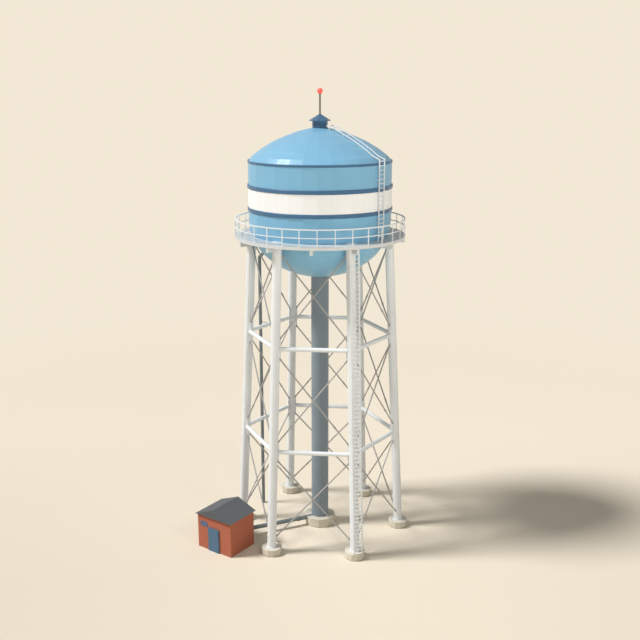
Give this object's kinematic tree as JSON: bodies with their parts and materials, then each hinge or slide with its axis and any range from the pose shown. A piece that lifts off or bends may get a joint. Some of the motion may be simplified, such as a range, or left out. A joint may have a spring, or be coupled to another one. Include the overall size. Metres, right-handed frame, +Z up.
{
  "type": "water tower",
  "caption": "Elevated water tank with a round bowl on raking braced legs, with a riser, a railed balcony, ladders and a small gabled valve house with a hinged door.",
  "frame": {"origin": "centre of the underside of the middle footing, on the ground, on the axis of the tank", "axes": "+Z up along the tank's axis; -Y is the side of the valve house's door; +X is the side of the ladder on the tank"},
  "size_m": [13.114, 16.3533, 35.1317],
  "materials": {
    "white_paint": "satin paint",
    "blue_paint": "satin paint",
    "navy_paint": "satin paint",
    "belt_paint": "satin paint",
    "slate_paint": "satin paint",
    "pipe_paint": "satin paint",
    "mast_steel": "galvanised",
    "red_lens": "gloss",
    "concrete": "cast concrete",
    "masonry_paint": "painted masonry",
    "roof_sheet": "matte sheet",
    "door_paint": "satin paint",
    "window_pane": "tinted"
  },
  "bodies": {
    "tower": {"riser_footing": "concrete", "leg_footing_1": "concrete", "leg_footing_2": "concrete", "leg_footing_3": "concrete", "leg_footing_4": "concrete", "leg_footing_5": "concrete", "leg_footing_6": "concrete", "leg_1": "white_paint", "leg_2": "white_paint", "leg_3": "white_paint", "leg_4": "white_paint", "leg_5": "white_paint", "leg_6": "white_paint", "side_bracing_1": "white_paint", "side_bracing_2": "white_paint", "side_bracing_3": "white_paint", "side_bracing_4": "white_paint", "side_bracing_5": "white_paint", "side_bracing_6": "white_paint", "riser_pipe": "slate_paint", "supply_pipe": "pipe_paint", "overflow_pipe": "pipe_paint", "tank_bowl": "blue_paint", "tank_wall_1": "blue_paint", "tank_wall_2": "blue_paint", "tank_wall_3": "blue_paint", "tank_wall_4": "blue_paint", "tank_roof": "blue_paint", "lower_band": "navy_paint", "upper_band": "navy_paint", "eave_ring": "navy_paint", "white_belt": "belt_paint", "roof_vent": "navy_paint", "vent_cap": "navy_paint", "mast": "mast_steel", "warning_light": "red_lens", "balcony_deck": "white_paint", "balcony_railing": "white_paint", "leg_ladder": "white_paint", "tank_ladder": "white_paint", "house_floor": "concrete", "house_left_wall": "masonry_paint", "house_right_wall": "masonry_paint", "house_back_wall": "masonry_paint", "house_front_wall_left": "masonry_paint", "house_front_wall_right": "masonry_paint", "house_wall_over_door": "masonry_paint", "house_roof": "roof_sheet", "door_frame": "door_paint", "window_frame": "door_paint", "window_pane": "window_pane"},
    "door": {"door_leaf": "door_paint"}
  },
  "joints": [
    {"name": "door_hinge", "type": "hinge", "parent": "tower", "child": "door", "pos_m": [-3.2633, -9.055, 0.42], "axis": [0, 0, 1], "range_deg": [0, 110]}
  ]
}
